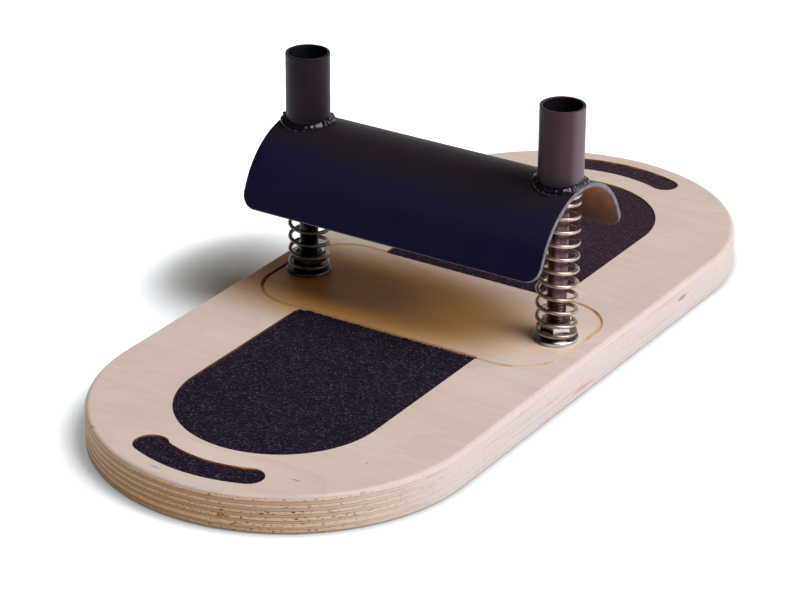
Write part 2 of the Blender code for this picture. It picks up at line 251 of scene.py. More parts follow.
# Fibres: streaks 4 mm wide and 110 mm long with finer ones in them, all coarser than real ones, which
# would not show. Growth rings: broad faint bands some 3 to 6 mm apart.
fibre_x = add("Mapping", {"Vector": here, "Scale": (9, 260, 700)})
fibre_y = add("Mapping", {"Vector": here, "Scale": (260, 9, 700)})
fibres = add("Mix", {"Factor": crosswise, "A": fibre_y, "B": fibre_x}, data_type="VECTOR")
fibre = add("TexNoise", {"Vector": fibres, "Scale": 1, "Detail": 4, "Roughness": 0.6})
growth = add("Mapping", {"Vector": here, "Scale": (5, 26, 26), "Rotation": (0, 0, 0.04)})
growth = add("TexNoise", {"Vector": growth, "Scale": 1, "Detail": 2, "Roughness": 0.4, "Distortion": 0.5})
growth = add("Math", {0: growth, 1: 13}, operation="MULTIPLY")
growth = add("Math", {0: growth}, operation="FRACT")
late_wood = add("MapRange", {0: growth, 1: 0.55, 2: 0.98, 3: 0, 4: 0.4})
patch = add("TexNoise", {"Vector": here, "Scale": 18, "Detail": 3})
face_tone = add("Math", {0: fibre, 1: 0.35}, operation="MULTIPLY")
face_tone = add("Math", {0: patch, 1: 0.65, 2: face_tone}, operation="MULTIPLY_ADD")
face_colour = add("ValToRGB", {"Fac": face_tone},
                  stops=[(0.32, "#C9B7AE"), (0.5, "#D0BFB6"), (0.66, "#D5C6BE")])
face_colour = add("Mix", {"Factor": late_wood, "A": face_colour, "B": "#C6B1A7"}, data_type="RGBA")
# Painted shade: under the saddle the face turns golden, with a darker painted shadow at the left, on the
# upper side only.
upper = add("MapRange", {0: facing.outputs[2], 1: 0.6, 2: 0.9, 3: 0, 4: 1})
painted_saddle_shade = share_away(add, here, (-0.027, -0.009, 0.019), (0.118, 0.057, 0.06))
painted_saddle_shade = add("MapRange", {0: painted_saddle_shade, 1: 0.4, 2: 1, 3: 1, 4: 0}, **smooth)
painted_saddle_shade = add("Math", {0: painted_saddle_shade, 1: upper}, operation="MULTIPLY")
face_colour = add("Mix", {"Factor": painted_saddle_shade, "A": face_colour, "B": "#DA9F48"}, data_type="RGBA")
painted_shadow_core = share_away(add, here, (-0.046, -0.006, 0.019), (0.062, 0.027, 0.06))
painted_shadow_core = add("MapRange", {0: painted_shadow_core, 1: 0.35, 2: 1, 3: 0.6, 4: 0}, **smooth)
painted_shadow_core = add("Math", {0: painted_shadow_core, 1: upper}, operation="MULTIPLY")
face_colour = add("Mix", {"Factor": painted_shadow_core, "A": face_colour, "B": "#86602E"}, data_type="RGBA")
# Pores of the end grain: speckles of 0.7 mm, coarser than real ones so that they show.
pores = add("TexNoise", {"Vector": here, "Scale": 1500, "Detail": 2})
end_colour = add("ValToRGB", {"Fac": pores},
                 stops=[(0.30, "#9A6A3C"), (0.48, "#CDA06A"), (0.70, "#E4C298")])
# Painted light and shade: the edge is paler where it faces the lamp, and golden where it is turned away
# from it.
sunny = add("MapRange", {0: facing.outputs[0], 1: -0.3, 2: 1, 3: 0, 4: 1})
sunny = add("Math", {0: sunny, 1: 2}, operation="POWER")
painted_lamp_light = add("Math", {0: sunny, 1: 0.8}, operation="MULTIPLY")
face_colour = add("Mix", {"Factor": painted_lamp_light, "A": face_colour, "B": "#C6BBBA"}, data_type="RGBA")
painted_edge_shade = add("Math", {0: on_side, 1: sunny}, operation="SUBTRACT")
painted_edge_shade = add("Math", {0: painted_edge_shade, 1: 0.9}, operation="MULTIPLY", use_clamp=True)
shaded_ply_tone = add("Mix", {"Factor": crosswise, "A": "#DFB98E", "B": "#A27A50"}, data_type="RGBA")
face_colour = add("Mix", {"Factor": painted_edge_shade, "A": face_colour, "B": shaded_ply_tone}, data_type="RGBA")
painted_end_light = add("Math", {0: sunny, 1: 0.9}, operation="MULTIPLY", use_clamp=True)
end_colour = add("Mix", {"Factor": painted_end_light, "A": end_colour, "B": "#D9BFA6"}, data_type="RGBA")
wood = add("Mix", {"Factor": end_grain, "A": face_colour, "B": end_colour}, data_type="RGBA")
# Grey streaks, 1 mm high and 60 mm long, only where the edge is painted as lit by the lamp.
streaks = add("Mapping", {"Vector": here, "Scale": (300, 16, 900)})
streaks = add("TexNoise", {"Vector": streaks, "Scale": 1, "Detail": 3, "Distortion": 0.3})
streaks = add("MapRange", {0: streaks, 1: 0.56, 2: 0.7, 3: 0, 4: 0.5})
streaks = add("Math", {0: streaks, 1: painted_lamp_light}, operation="MULTIPLY")
wood = add("Mix", {"Factor": streaks, "A": wood, "B": "#9C8B8A"}, data_type="RGBA")
# Glue lines between the plies: faint along the sides and clear round the ends.
glue_seen = add("Math", {0: glue_line, 1: on_side}, operation="MULTIPLY")
glue_seen = add("Math", {0: glue_seen, 1: strength}, operation="MULTIPLY")
facing_end = add("MapRange", {0: along_end, 1: 0, 2: 0.7, 3: 0.14, 4: 1})
glue_seen = add("Math", {0: glue_seen, 1: facing_end}, operation="MULTIPLY")
wood = add("Mix", {"Factor": glue_seen, "A": wood, "B": "#8A5A32"}, data_type="RGBA")
# Torn fibres of the end grain: flecks 2.4 mm wide and 0.9 mm high, most of them on the right.
tears = add("Mapping", {"Vector": here, "Scale": (420, 420, 1100)})
tears = add("TexNoise", {"Vector": tears, "Scale": 1, "Detail": 1})
tears = add("MapRange", {0: tears, 1: 0.60, 2: 0.67, 3: 0, 4: 1})
tears = add("Math", {0: tears, 1: end_grain}, operation="MULTIPLY")
against = add("MapRange", {0: facing.outputs[0], 1: -0.1, 2: 0.4, 3: 0.25, 4: 1.6})
tears = add("Math", {0: tears, 1: against}, operation="MULTIPLY", use_clamp=True)
wood = add("Mix", {"Factor": tears, "A": wood, "B": "#6A431C"}, data_type="RGBA")
# Splinters 3 mm long, where the router tore the face along the straight edges of the pads' beds.
pad_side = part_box("rear_grip_pad")[1].x
off_axis = add("VectorMath", {0: here}, operation="ABSOLUTE")
off_axis = add("SeparateXYZ", {0: off_axis})
torn = add("MapRange", {0: off_axis.outputs[1], 1: bed_start - 0.0012, 2: bed_start - 0.0002, 3: 0, 4: 1},
           **smooth)
near_pad = add("MapRange", {0: off_axis.outputs[0], 1: pad_side - 0.0007, 2: pad_side + 0.0008, 3: 1, 4: 0})
torn = add("Math", {0: torn, 1: near_pad}, operation="MULTIPLY")
torn = add("Math", {0: torn, 1: upper}, operation="MULTIPLY")
before_pad = add("Math", {0: off_axis.outputs[1], 1: bed_start + 0.0001}, operation="LESS_THAN")
torn = add("Math", {0: torn, 1: before_pad}, operation="MULTIPLY")
splinters = add("TexNoise", {"Vector": here, "Scale": 330, "Detail": 3})
splinters = add("MapRange", {0: splinters, 1: 0.46, 2: 0.58, 3: 0, 4: 0.6})
torn = add("Math", {0: torn, 1: splinters}, operation="MULTIPLY")
wood = add("Mix", {"Factor": torn, "A": wood, "B": "#A4642F"}, data_type="RGBA")
# The foot of the edge is dark wherever the lamp doesn't reach it.
low_edge = add("MapRange", {0: axes.outputs[2], 1: 0.0003, 2: 0.0026, 3: 0.8, 4: 0})
unlit = add("Math", {0: 1, 1: sunny}, operation="SUBTRACT")
low_edge = add("Math", {0: low_edge, 1: unlit}, operation="MULTIPLY")
wood = add("Mix", {"Factor": low_edge, "A": wood, "B": "#7A6454"}, data_type="RGBA")

# Pin knots and small faults of the veneer: where each is, how long and how wide, in metres.
faults = (
    ((-0.0599, -0.1963, 0.019), (0.0035, 0.0007, 0.004)),
    ((-0.0123, -0.2121, 0.019), (0.0046, 0.0006, 0.004)),
    ((0.0475, -0.1879, 0.019), (0.0036, 0.0007, 0.004)),
    ((0.0650, -0.1573, 0.019), (0.0010, 0.0007, 0.004)),
    ((0.0955, 0.0881, 0.0117), (0.004, 0.0062, 0.0015)),
    ((0.0955, -0.0135, 0.0043), (0.004, 0.016, 0.0006)),
)
for centre, reach in faults:
    shape = share_away(add, here, centre, reach)
    shape = add("MapRange", {0: shape, 1: 0.3, 2: 1, 3: 0.8, 4: 0}, **smooth)
    wood = add("Mix", {"Factor": shape, "A": wood, "B": "#A0622F"}, data_type="RGBA")
sheen = add("MapRange", {0: fibre, 1: 0.3, 2: 0.7, 3: 0.40, 4: 0.52})
grain_relief = add("Bump", {"Height": fibre, "Strength": 0.25, "Distance": 0.0002})
feed(shader, {"Base Color": wood, "Roughness": sheen, "Normal": grain_relief, "Specular IOR Level": 0.25})

# Routed birch, as in the groove: nearly as pale as the face, painted yellower towards the left as shaded by
# the saddle, with three stretches that the cutter burnt, in clouds of 17 mm. It is bare wood, and the eye
# sees no sheen.
routed, add, shader = new_finish("routed birch")
here = add("TexCoord").outputs["Object"]
burn = add("TexNoise", {"Vector": here, "Scale": 60, "Detail": 3})
# Where each burn is, in metres, and how dark.
burns = (((0.078, 0.032, 0.019), 0.2), ((-0.083, -0.014, 0.019), 0.5), ((-0.068, 0.037, 0.019), 0.08))
for corner, char in burns:
    away = add("VectorMath", {0: here, 1: corner}, operation="DISTANCE")
    near = add("MapRange", {0: away.outputs["Value"], 1: 0.006, 2: 0.022, 3: char, 4: 0})
    burn = add("Math", {0: burn, 1: near}, operation="ADD")
burnt = add("ValToRGB", {"Fac": burn},
            stops=[(0.5, "#CBB8AA"), (0.68, "#BC9670"), (0.82, "#8A5226"), (0.98, "#4A2C16")])
axes = add("SeparateXYZ", {0: here})
# Painted shade of the saddle: the groove turns yellower towards the left.
painted_groove_shade = add("MapRange", {0: axes.outputs[0], 1: -0.07, 2: 0.06, 3: 0.9, 4: 0.25})
burnt = add("Mix", {"Factor": painted_groove_shade, "A": burnt, "B": "#C29A58"},
            data_type="RGBA", blend_type="DARKEN")
feed(shader, {"Base Color": burnt, "Roughness": 0.6, "Specular IOR Level": 0.2})

# The walls of the grit sheets' beds: scorched by the cutter to a dark orange-brown, in clouds of 7 mm, with
# painted shade that turns them nearly black at the left, and pale along the side next to the middle panel.
scorched, add, shader = new_finish("routed birch, scorched by the cutter")
here = add("TexCoord").outputs["Object"]
scorch = add("TexNoise", {"Vector": here, "Scale": 140, "Detail": 3})
browns = add("ValToRGB", {"Fac": scorch}, stops=[(0.35, "#5E3418"), (0.5, "#7F4A22"), (0.68, "#A8733F")])
axes = add("SeparateXYZ", {0: here})
open_side = add("Math", {0: axes.outputs[1]}, operation="ABSOLUTE")
open_side = add("MapRange", {0: open_side, 1: bed_start + 0.0004, 2: bed_start + 0.0012, 3: 0.85, 4: 0})
# Painted shade: the walls at the left turn nearly black.
left_side = add("MapRange", {0: axes.outputs[0], 1: -0.040, 2: -0.020, 3: 0.75, 4: 0})
browns = add("Mix", {"Factor": left_side, "A": browns, "B": "#2C1B12"}, data_type="RGBA")
browns = add("Mix", {"Factor": open_side, "A": browns, "B": "#CDA277"}, data_type="RGBA")
feed(shader, {"Base Color": browns, "Roughness": 0.6, "Specular IOR Level": 0.2})

end_steps = 96


def oblong(inset, z):
    """The board's outline with half-round ends, drawn in by an inset, at a height."""
    radius = half_width - inset
    middle = Vector((0, half_length - half_width, z))
    far = [polar(radius, math.pi * step / end_steps) + middle for step in range(end_steps + 1)]
    return far + [Vector((-point.x, -point.y, z)) for point in far]


board_finishes = (birch, routed, scorched)
routed_cut = 1
scorched_cut = 2


def cutter(name, rings, finish, closed=False):
    """A cutter whose faces leave one of the board's finishes, by its number."""
    made = skin(name, rings, closed, finishes=board_finishes)
    for face in made.data.polygons:
        face.material_index = finish
    return made


edge_steps = 8
outlines = [oblong(inset, up) for inset, up in rounding(bottom_easing, edge_steps)]
outlines += [oblong(inset, thickness - down) for down, inset in rounding(top_easing, edge_steps)]
board = skin("plywood_board", outlines, finishes=board_finishes)

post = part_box("right_base_washer")
post_x = (post[0].x + post[1].x) / 2
washer_radius = (post[1].x - post[0].x) / 2
washer_to_groove = 0.0021
groove_across = post_x + washer_radius + washer_to_groove
groove_along = 0.040
groove_corner = 0.025
groove_steps = 24
groove_side = 0.001
groove_floor = 0.0003
groove_depth = 0.001
cutter_proud = 0.002

# The groove is a shallow V with a narrow flat floor. Its cutter flares where it stands out of the wood.
section = ((-groove_side - cutter_proud, cutter_proud), (-groove_side, 0), (-groove_floor, -groove_depth))
section += ((groove_floor, -groove_depth), (groove_side, 0), (groove_side + cutter_proud, cutter_proud))
groove = []
for quarter, (across, along) in enumerate(((1, 1), (-1, 1), (-1, -1), (1, -1))):
    middle = Vector((across * (groove_across - groove_corner), along * (groove_along - groove_corner), 0))
    for step in range(groove_steps + 1):
        angle = math.pi / 2 * (quarter + step / groove_steps)
        groove.append([middle + polar(groove_corner + out, angle, thickness + up) for out, up in section])
cutters = [cutter("panel_groove", groove, routed_cut, closed=True)]

pad_low, pad_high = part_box("rear_grip_pad")
pad_radius = pad_high.x
pad_start = pad_low.y
pad_centre = pad_high.y - pad_radius
seat_clearance = 0.0003
pad_bed = pad_low.z - seat_clearance


def pad_outline(grow, spacing, cut):
    """The D of a grip pad, half round towards the board's end, one of its corners cut off if asked."""
    middle = Vector((0, pad_centre, 0))
    radius = pad_radius + grow
    start = pad_start - grow
    steps = int(math.pi * radius / spacing)
    corners = [Vector((-radius, start, 0)), Vector((radius - cut, start, 0))]
    if cut:
        corners += [Vector((radius - cut / 4, start + cut / 3, 0)), Vector((radius, start + cut, 0))]
    corners.append(Vector((radius, pad_centre, 0)))
    points = []
    for here, there in zip(corners, corners[1:]):
        parts = max(1, int((there - here).length / spacing))
        points += [here.lerp(there, part / parts) for part in range(parts)]
    points += [polar(radius, math.pi * step / steps) + middle for step in range(steps + 1)]
    parts = int((pad_centre - start) / spacing)
    last = Vector((-radius, pad_centre, 0))
    return points + [last.lerp(corners[0], part / parts) for part in range(1, parts)]


strip_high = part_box("rear_grip_strip")[1]
strip_width = 0.014
strip_radius = strip_high.y - pad_centre - strip_width / 2
strip_half = math.asin((strip_high.x - strip_width / 2) / strip_radius)


def strip_outline(grow, spacing, wander):
    """The curved band of a grip strip, concentric with the pad's end, one round tip wider if asked."""
    middle = math.pi / 2
    reach = strip_width / 2 + grow
    wide = reach + wander / 2
    wide_at = strip_radius - wander / 2
    taper = 1.25
    long_steps = int(2 * strip_half * strip_radius / spacing)
    tip_steps = int(math.pi * reach / spacing)
    points = []
    for step in range(long_steps + 1):
        points.append(polar(strip_radius + reach, middle - strip_half + 2 * strip_half * step / long_steps))
    for step in range(1, tip_steps):
        tip = middle + strip_half
        points.append(polar(strip_radius, tip) + polar(reach, tip + math.pi * step / tip_steps))
    for step in range(long_steps + 1):
        past_tip = 2 * strip_half * (1 - step / long_steps)
        beside = taper * wide_at * math.sin(past_tip)
        inner = strip_radius - reach - wander / 2 * (step / long_steps) ** 2
        if beside < wide:
            inner = min(inner, wide_at * math.cos(past_tip) - math.sqrt(wide ** 2 - beside ** 2))
        points.append(polar(inner, middle - strip_half + past_tip))
    for step in range(1, tip_steps):
        tip = middle - strip_half
        points.append(polar(wide_at, tip) + polar(wide, tip + math.pi * (1 + step / tip_steps)))
    return [point + Vector((0, pad_centre, 0)) for point in points]


def at_end(points, end, z):
    """Points of the rear end set at a height, or turned round to the front end."""
    return [Vector((point.x * end, point.y * end, z)) for point in points]


missing_corner = 0.0058
tip_wander = 0.0024
bed_spacing = 0.002
for end in (1, -1):
    for name, outline, flaw in (("pad", pad_outline, missing_corner), ("strip", strip_outline, tip_wander)):
        bed = outline(margin, bed_spacing, flaw if end < 0 else 0.0)
        rings = [at_end(bed, end, pad_bed), at_end(bed, end, thickness + cutter_proud)]
        cutters.append(cutter(f"{name}_bed", rings, scorched_cut))


def post_at(side, z=0.0):
    """A point on the axis of a post, the left one (-1) or the right one (1)."""
    return Vector((side * post_x, 0, z))


hole_radius = 0.0051625
hole_steps = 64
round_washer = 0.002
counterbore_radius = washer_radius + round_washer
counterbore_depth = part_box("right_bottom_washer")[1].z + seat_clearance
for side in (-1, 1):
    heights = ((counterbore_radius, -cutter_proud), (counterbore_radius, counterbore_depth))
    heights += ((hole_radius, counterbore_depth), (hole_radius, thickness + cutter_proud))
    rings = [circle(radius, z, post_at(side), hole_steps) for radius, z in heights]
    cutters.append(cutter("post_hole", rings, routed_cut))
carve(board, cutters)
settle(board, "base", "birch_plywood", "base_board")

# The grit sheets: coarse black mineral grit bonded to an adhesive film, the kind sold for stair
# treads. They are cut with a knife and stuck down in shallow beds, a little below the board's face.

# Mineral grit: matt and nearly black with a few pale grains, and painted greyer towards the rear end, for
# the sheen of the light that grazes it there. The grains are drawn at 0.75 mm and the cells of their tones
# at 0.7 mm, coarser than the real ones, because finer ones would not show.
grit, add, shader = new_finish("black mineral grit on adhesive film")
here = add("TexCoord").outputs["Object"]
grain = add("TexVoronoi", {"Vector": here, "Scale": 1500})
shade = add("SeparateColor", {0: grain.outputs["Color"]})
tone = add("ValToRGB", {"Fac": shade.outputs[0]}, stops=[
    (0.0, "#04030D"), (0.5, "#110E20"), (0.88, "#281F31"), (0.985, "#4E434D")])
axes = add("SeparateXYZ", {0: here})
# Painted sheen: the rear pad greys where the light grazes it.
painted_rear_sheen = add("MapRange", {0: axes.outputs[1], 1: 0.03, 2: 0.10, 3: 0, 4: 0.27})
tone = add("Mix", {"Factor": painted_rear_sheen, "A": tone, "B": "#503A40"}, data_type="RGBA")
gloss = add("MapRange", {0: shade.outputs[1], 1: 0.9, 2: 1, 3: 0.85, 4: 0.45})
feed(shader, {"Base Color": tone, "Roughness": gloss, "Specular IOR Level": 0.05, "Sheen Weight": 0.07,
              "Sheen Roughness": 0.5, "Sheen Tint": "#DCC0D0"})


def inside(points, outline):
    """Which points lie inside a closed outline."""
    found = np.zeros(len(points), bool)
    for (x0, y0), (x1, y1) in zip(outline, np.roll(outline, -1, 0)):
        if y0 != y1:
            crosses = (points[:, 1] < y0) != (points[:, 1] < y1)
            meet = x0 + (points[:, 1] - y0) * (x1 - x0) / (y1 - y0)
            found ^= crosses & (points[:, 0] < meet)
    return found


grain_size = 0.00075
row_step = 0.866
clear_of_rim = 0.0002


def grit_sheet(name, outline, end, film, crest, seed, ragged):
    """A sheet of loose-cut grit: each grain is a peak or a hollow of its top, and its edge is ragged."""
    draw = np.random.default_rng(seed)
    rim = np.array([(point.x * end, point.y * end) for point in outline])
    out = rim - np.roll(rim, 1, 0)
    out = np.stack([out[:, 1], -out[:, 0]], 1) / (np.linalg.norm(out, axis=1)[:, None] + 1e-9)
    # The knife strayed most along the inner edges, less on the left side and not at all at corners.
    inner_side = np.abs(rim[:, 1]) < pad_start
    left_side = (np.abs(rim[:, 1]) < pad_centre) & (rim[:, 0] < 0)
    loose = np.where(inner_side, 3, np.where(left_side, 2.2, 1))
    turned = np.linalg.norm(out - np.roll(out, -1, 0), axis=1) > 0.3
    for shift in (-2, -1, 0, 1, 2):
        loose = np.where(np.roll(turned, shift), 0, loose)
    rim = rim + out * (ragged * loose * (draw.random(len(rim)) - 1))[:, None]
    low = rim.min(0)
    high = rim.max(0)
    columns = int((high[0] - low[0]) / grain_size) + 1
    rows = int((high[1] - low[1]) / (grain_size * row_step)) + 1
    grid_x, grid_y = np.meshgrid(np.arange(columns), np.arange(rows))
    grains = np.stack([grid_x + 0.5 * (grid_y % 2), grid_y * row_step], -1).reshape(-1, 2)
    grains = grains * grain_size + low
    grains += (draw.random(grains.shape) - 0.5) * grain_size * 0.7
    grains = grains[inside(grains, rim - out * clear_of_rim)]
    points = [Vector(point) for point in np.concatenate([rim, grains])]
    edges = [(spot, (spot + 1) % len(rim)) for spot in range(len(rim))]
    points, _, faces, _, _, _ = delaunay_2d_cdt(points, edges, [], 0, 1e-6, False)
    middles = np.array(points)[np.array(faces)].mean(1)
    faces = [tuple(face) for face, kept in zip(faces, inside(middles, rim)) if kept]
    heights = film + (crest - film) * (0.55 + 0.45 * draw.random(len(points)) ** 1.3)
    heights[:len(rim)] = film + (crest - film) * (0.35 + 0.3 * draw.random(len(rim)))
    solid = [Vector((point.x, point.y, z)) for point, z in zip(points, heights)]
    under = len(solid)
    solid += [Vector((x, y, film)) for x, y in rim]
    for spot in range(len(rim)):
        beside = (spot + 1) % len(rim)
        faces.append((spot, under + spot, under + beside, beside))
    faces.append(tuple(range(under, under + len(rim))))
    return piece_of(name, solid, faces, 0, (grit,))


sheet_grow = 0.0003
cut_spacing = 0.0008
sheet_kinds = (("pad", pad_outline, 0.0004, missing_corner), ("strip", strip_outline, 0.0002, tip_wander))
seed = 11
for end, where in ((1, "rear"), (-1, "front")):
    for kind, outline, ragged, flaw in sheet_kinds:
        node = f"{where}_grip_{kind}"
        low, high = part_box(node)
        rim = outline(sheet_grow, cut_spacing, flaw if end < 0 else 0.0)
        sheet = grit_sheet(f"{where}_grit_{kind}", rim, end, low.z, high.z, seed, ragged)
        settle(sheet, "base", "black_grit", node)
        seed += 1

# The saddle: steel sheet 2.3 mm thick, bent round at the crown with short straight sides, its corners
# cut round. A hole under each tube lets the bolt through. It is painted satin black, and the paint is
# thin along the cut edges, so that the steel greys them.
arch_half, _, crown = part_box("saddle_arch")[1]
bend_radius = 0.0408
bend_half = math.radians(66)
straight = 0.012
sheet_thickness = 0.0023
corner = 0.008
easing = 0.0005
easing_steps = 4
girth_half = bend_radius * bend_half + straight

# Satin black paint: a soft wide glow instead of a mirror, with the faint orange peel of a spray gun.
# The peel is 1.4 mm across. Light from above is painted in: faces turned up are greyer and the crown
# browner, least at the left end.
satin, add, shader = new_finish("satin black paint on sheet steel")
spot = add("TexCoord")
here = spot.outputs["Object"]
peel = add("TexNoise", {"Vector": here, "Scale": 700, "Detail": 2})
cloud = add("TexNoise", {"Vector": here, "Scale": 30, "Detail": 3})
black = add("ValToRGB", {"Fac": cloud}, stops=[(0.35, "#08092A"), (0.65, "#0D0E2E")])
facing = add("SeparateXYZ", {0: spot.outputs["Normal"]})
axes = add("SeparateXYZ", {0: here})
off_left = add("MapRange", {0: axes.outputs[0], 1: -0.085, 2: -0.02, 3: 0.1, 4: 1})
# Painted light: the faces turned up are greyer, less towards the left end.
rubbed = add("MapRange", {0: facing.outputs[2], 1: 0.35, 2: 0.75, 3: 0, 4: 1}, **smooth)
rubbed = add("Math", {0: rubbed, 1: off_left}, operation="MULTIPLY")
black = add("Mix", {"Factor": rubbed, "A": black, "B": "#18182C"}, data_type="RGBA")
# Painted highlight: the crown is browner.
crest = add("MapRange", {0: facing.outputs[2], 1: 0.75, 2: 0.98, 3: 0, 4: 1}, **smooth)
black = add("Mix", {"Factor": crest, "A": black, "B": "#21171F"}, data_type="RGBA")
haze = add("MapRange", {0: cloud, 1: 0.3, 2: 0.7, 3: 0.54, 4: 0.62})
peel_relief = add("Bump", {"Height": peel, "Strength": 0.22, "Distance": 0.0003})
feed(shader, {"Base Color": black, "Roughness": haze, "Normal": peel_relief, "Specular IOR Level": 0.2,
              "Specular Tint": "#F4DDF4"})

# The cut edge: ground steel under a thin coat, which the eye sees as grey with patches of 4 mm.
cut_edge, add, shader = new_finish("thin black paint over a ground steel edge")
here = add("TexCoord").outputs["Object"]
wear = add("TexNoise", {"Vector": here, "Scale": 260, "Detail": 3})
greys = add("ValToRGB", {"Fac": wear}, stops=[(0.35, "#514A58"), (0.55, "#665F6C"), (0.75, "#77707B")])
feed(shader, {"Base Color": greys, "Roughness": 0.5, "Metallic": 0.25})

# The inner face: a thin, uneven coat over the brown scale that the mill left on the sheet, in clouds of 11
# mm. It looks brown near the crown, and lower down it is painted darker, as it mirrors the dark grit there.
inner_face, add, shader = new_finish("thin black paint over brown mill scale")
here = add("TexCoord").outputs["Object"]
scale = add("TexNoise", {"Vector": here, "Scale": 90, "Detail": 4})
browns = add("ValToRGB", {"Fac": scale}, stops=[(0.3, "#704733"), (0.55, "#986143"), (0.75, "#A8724D")])
axes = add("SeparateXYZ", {0: here})
# Painted reflection of the dark grit: darker lower down.
painted_grit_reflection = add("MapRange", {0: axes.outputs[2], 1: crown - 0.034, 2: crown - 0.012, 3: 0.75, 4: 0},
               **smooth)
browns = add("Mix", {"Factor": painted_grit_reflection, "A": browns, "B": "#33212A"}, data_type="RGBA")
feed(shader, {"Base Color": browns, "Roughness": 0.5, "Specular IOR Level": 0.3})


def bent(x, girth, depth):
    """A point of the sheet: along the crown, round the girth from the crown and into the thickness."""
    around = min(abs(girth), bend_radius * bend_half) / bend_radius
    beyond = max(abs(girth) - bend_radius * bend_half, 0)
    side = 1 if girth > 0 else -1
    y = math.sin(around) * (bend_radius - depth) + math.cos(around) * beyond
    z = math.cos(around) * (bend_radius - depth) - math.sin(around) * beyond
    return Vector((x, side * y, crown - bend_radius + z))


corner_steps = 16
girth_steps = 120


def sheet_outline(inset):
    """A long side of the flat sheet and its two rounded corners, drawn in by an inset, as X and girth."""
    radius = corner - inset
    rounded = []
    for angle in quarter_turn(corner_steps):
        x = arch_half - corner + radius * math.sin(angle)
        rounded.append((x, -girth_half + corner - radius * math.cos(angle)))
    points = list(rounded)
    for step in range(1, girth_steps):
        points.append((arch_half - inset, (girth_half - corner) * (2 * step / girth_steps - 1)))
    return points + [(x, -girth) for x, girth in reversed(rounded)]


profile = rounding(easing, easing_steps)
profile += [(inset, sheet_thickness - depth) for inset, depth in reversed(profile)]
points = []
faces = []
for inset, depth in profile:
    side = sheet_outline(inset)
    ring = side + [(-x, girth) for x, girth in reversed(side)]
    points += [bent(x, girth, depth) for x, girth in ring]
count = 2 * len(sheet_outline(0))
for row in range(len(profile) - 1):
    for place in range(count):
        beside = (place + 1) % count
        low = row * count
        faces.append((low + place, low + beside, low + count + beside, low + count + place))
rim_faces = len(faces)
outer_faces = rim_faces + count // 2 - 1
for low in (0, (len(profile) - 1) * count):
    for place in range(count // 2 - 1):
        faces.append((low + place, low + place + 1, low + count - 2 - place, low + count - 1 - place))
arch = piece_of("steel_saddle", points, faces, 40, (satin, cut_edge, inner_face))
for face in arch.data.polygons:
    if face.index < rim_faces:
        face.material_index = 1
    elif face.index >= outer_faces:
        face.material_index = 2

bolt_hole_radius = 0.0055125
past_sheet = 0.01
half_step = math.pi / hole_steps
holes = []
for side in (-1, 1):
    rings = []
    for z in (crown - past_sheet, crown + past_sheet):
        rings.append([polar(bolt_hole_radius, a + half_step, z) + post_at(side) for a in turn(hole_steps)])
    holes.append(skin("bolt_hole", rings, finishes=(satin, cut_edge)))
carve(arch, holes)
settle(arch, "saddle", "black_paint", "saddle_arch")

# The guide tubes: 22 mm steel tube with 1.5 mm walls, its foot cut to the curve of the saddle. The
# two differ in height, and both are welded on the crown of the saddle.

# The same satin paint, with orange peel of 1.1 mm and runs 3 mm wide and 40 mm long. Light and shade are
# painted in: it is darker on the left tube, which gets less light, paler down the side that faces right,
# where the lamps light it, most on the right tube, and darker at the foot, in the shade against the saddle.
tube_finishes = {}
# Each tube's two tones of the runs, darker for the left tube as painted shade, and the tone painted on its
# lit side.
tube_tones = (("left", "#190C1B", "#241321", "#2A1E27"), ("right", "#3F2B33", "#463037", "#8E8089"))
for where, thick, thin, painted_lit_tone in tube_tones:
    tube_finish, add, shader = new_finish(f"satin black paint on steel tube, {where}")
    spot = add("TexCoord")
    here = spot.outputs["Object"]
    peel = add("TexNoise", {"Vector": here, "Scale": 900, "Detail": 2})
    runs = add("Mapping", {"Vector": here, "Scale": (300, 300, 25)})
    runs = add("TexNoise", {"Vector": runs, "Scale": 1, "Detail": 3})
    brown_black = add("ValToRGB", {"Fac": runs}, stops=[(0.35, thick), (0.65, thin)])
    axes = add("SeparateXYZ", {0: here})
    # Painted shade at the foot, against the saddle.
    foot = add("MapRange", {0: axes.outputs[2], 1: crown - 0.001, 2: crown + 0.009, 3: 1, 4: 0},
               **smooth)
    brown_black = add("Mix", {"Factor": foot, "A": brown_black, "B": "#0D0A1C"}, data_type="RGBA")
    facing = add("SeparateXYZ", {0: spot.outputs["Normal"]})
    # Painted light down the side that faces right.
    outer = add("MapRange", {0: facing.outputs[0], 1: 0.75, 2: 1, 3: 0, 4: 0.33}, **smooth)
    brown_black = add("Mix", {"Factor": outer, "A": brown_black, "B": painted_lit_tone}, data_type="RGBA")
    haze = add("MapRange", {0: runs, 1: 0.3, 2: 0.7, 3: 0.42, 4: 0.5})
    peel_relief = add("Bump", {"Height": peel, "Strength": 0.12, "Distance": 0.0003})
    feed(shader, {"Base Color": brown_black, "Roughness": haze, "Normal": peel_relief,
                  "Specular IOR Level": 0.15})
    tube_finishes[where] = tube_finish

# The bore: dull and nearly black, darker than the paint outside, as painted shade in the tube, in clouds of
# 2.5 mm.
dull_bore, add, shader = new_finish("nearly black, painted shade in a tube's bore")
here = add("TexCoord").outputs["Object"]
dust = add("TexNoise", {"Vector": here, "Scale": 400, "Detail": 3})
painted_bore_shade = add("ValToRGB", {"Fac": dust}, stops=[(0.35, "#05050D"), (0.7, "#0E0C16")])
feed(shader, {"Base Color": painted_bore_shade, "Roughness": 0.7, "Specular IOR Level": 0.15})


def on_crown(radius, angle, out=0.0):
    """The height of the saddle's outer surface below a point round a post."""
    return crown - bend_radius + math.sqrt((bend_radius + out) ** 2 - (radius * math.sin(angle)) ** 2)


